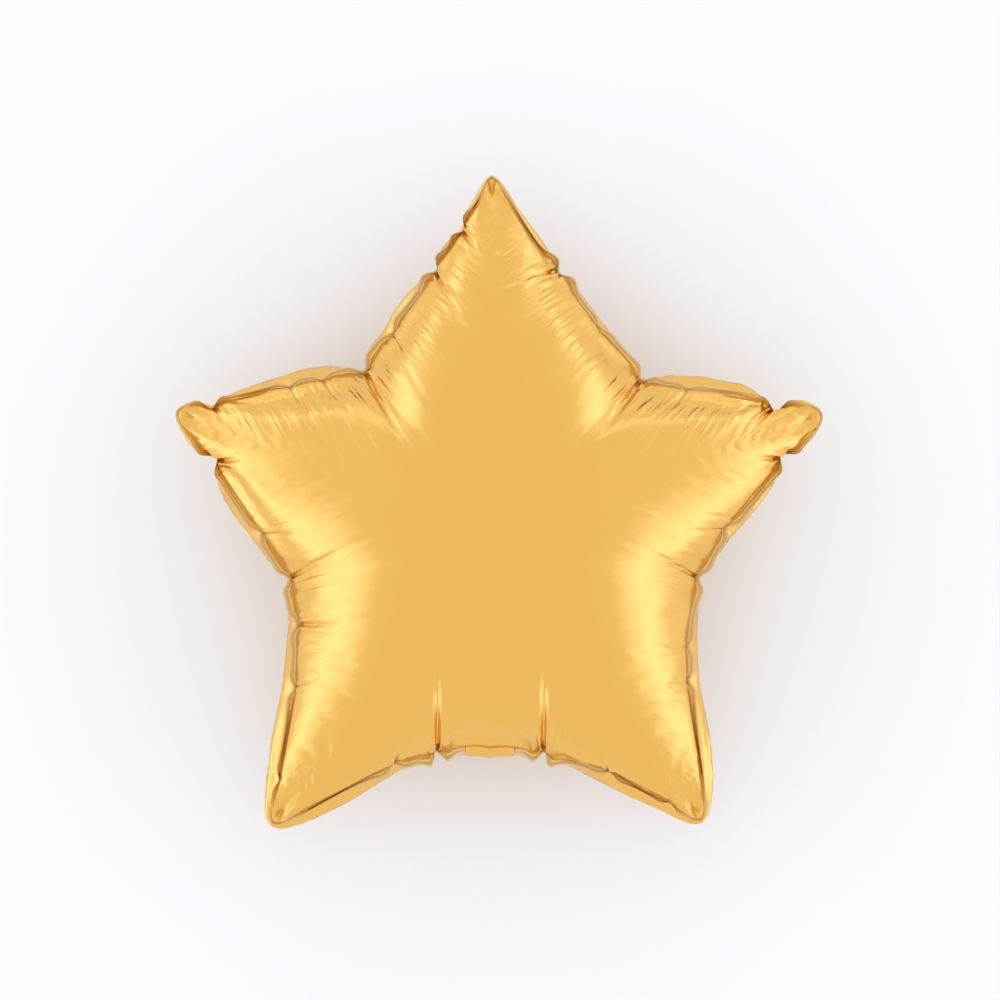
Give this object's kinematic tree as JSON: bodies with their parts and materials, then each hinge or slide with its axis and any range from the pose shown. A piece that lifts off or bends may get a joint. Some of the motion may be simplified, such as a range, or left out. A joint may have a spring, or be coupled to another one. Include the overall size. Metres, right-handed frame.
{
  "type": "star foil balloon",
  "caption": "Inflated gold foil balloon in the shape of a five-pointed star, with a gathered heat-sealed edge.",
  "frame": {"origin": "middle of the flat spot that the back panel rests on, under the middle of the star", "axes": "+Z out of the front panel, +Y toward the top point, +X to the right as the front panel is seen"},
  "size_m": [0.4526, 0.4541, 0.1496],
  "materials": {
    "gold_foil": "metallised film, glossy"
  },
  "bodies": {
    "root": {"balloon_envelope": "gold_foil"}
  },
  "joints": []
}
